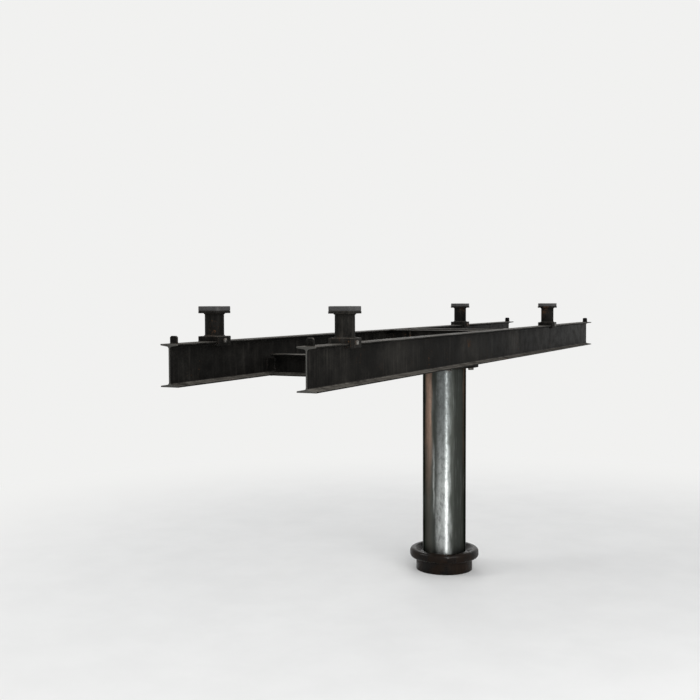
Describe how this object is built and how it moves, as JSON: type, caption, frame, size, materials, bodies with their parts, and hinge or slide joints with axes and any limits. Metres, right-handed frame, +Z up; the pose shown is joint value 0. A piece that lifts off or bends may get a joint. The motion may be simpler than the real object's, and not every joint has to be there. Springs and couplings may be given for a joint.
{
  "type": "car wash lift",
  "caption": "In-ground car wash lift: a polished ram in a ground collar raises and turns an open frame of rolled steel beams with sliding rubber-topped pads",
  "frame": {"origin": "on the ground, on the axis of the ram, at the underside of the collar", "axes": "+Z up, Y along the long beams with the vehicle's nose towards -Y, +X to the vehicle's left"},
  "size_m": [0.736, 4.6, 1.578],
  "materials": {
    "collar_paint": "glossy, oily, worn",
    "wiper_rubber": "satin",
    "bush_metal": "satin bronze",
    "ram_steel": "polished, oily, streaked",
    "frame_paint": "worn black paint, dusty, rust at the edges",
    "pad_paint": "worn black paint",
    "pad_rubber": "matt, scuffed"
  },
  "bodies": {
    "collar": {"cylinder_neck": "collar_paint", "gland_ring": "collar_paint", "wiper_ring": "wiper_rubber"},
    "gland_bush": {"guide_bush": "bush_metal"},
    "ram_and_frame": {"ram_tube": "ram_steel", "ram_head_flange": "frame_paint", "saddle_plate": "frame_paint", "right_beam": "frame_paint", "left_beam": "frame_paint", "nose_cross_beam": "frame_paint", "tail_cross_beam": "frame_paint", "nose_saddle_beam": "frame_paint", "tail_saddle_beam": "frame_paint", "nose_right_stiffener": "frame_paint", "nose_right_stop": "frame_paint", "nose_left_stiffener": "frame_paint", "nose_left_stop": "frame_paint", "tail_right_stiffener": "frame_paint", "tail_right_stop": "frame_paint", "tail_left_stiffener": "frame_paint", "tail_left_stop": "frame_paint"},
    "nose_right_pad": {"nose_right_pad_shoe": "pad_paint", "nose_right_pad_post": "pad_paint", "nose_right_pad_head_plate": "pad_paint", "nose_right_pad_rubber": "pad_rubber"},
    "nose_left_pad": {"nose_left_pad_shoe": "pad_paint", "nose_left_pad_post": "pad_paint", "nose_left_pad_head_plate": "pad_paint", "nose_left_pad_rubber": "pad_rubber"},
    "tail_right_pad": {"tail_right_pad_shoe": "pad_paint", "tail_right_pad_post": "pad_paint", "tail_right_pad_head_plate": "pad_paint", "tail_right_pad_rubber": "pad_rubber"},
    "tail_left_pad": {"tail_left_pad_shoe": "pad_paint", "tail_left_pad_post": "pad_paint", "tail_left_pad_head_plate": "pad_paint", "tail_left_pad_rubber": "pad_rubber"}
  },
  "joints": [
    {"name": "ram_turn", "type": "hinge", "parent": "collar", "child": "gland_bush", "pos_m": [0, 0, 0.05], "axis": [0, 0, 1], "continuous": true},
    {"name": "ram_lift", "type": "slide", "parent": "gland_bush", "child": "ram_and_frame", "axis": [0, 0, 1], "range_m": [-1.04, 0]},
    {"name": "nose_right_pad_slide", "type": "slide", "parent": "ram_and_frame", "child": "nose_right_pad", "axis": [0, 1, 0], "range_m": [-0.23, 1.735]},
    {"name": "nose_left_pad_slide", "type": "slide", "parent": "ram_and_frame", "child": "nose_left_pad", "axis": [0, 1, 0], "range_m": [-0.23, 1.735]},
    {"name": "tail_right_pad_slide", "type": "slide", "parent": "ram_and_frame", "child": "tail_right_pad", "axis": [0, 1, 0], "range_m": [-0.91, 1.055]},
    {"name": "tail_left_pad_slide", "type": "slide", "parent": "ram_and_frame", "child": "tail_left_pad", "axis": [0, 1, 0], "range_m": [-0.91, 1.055]}
  ]
}
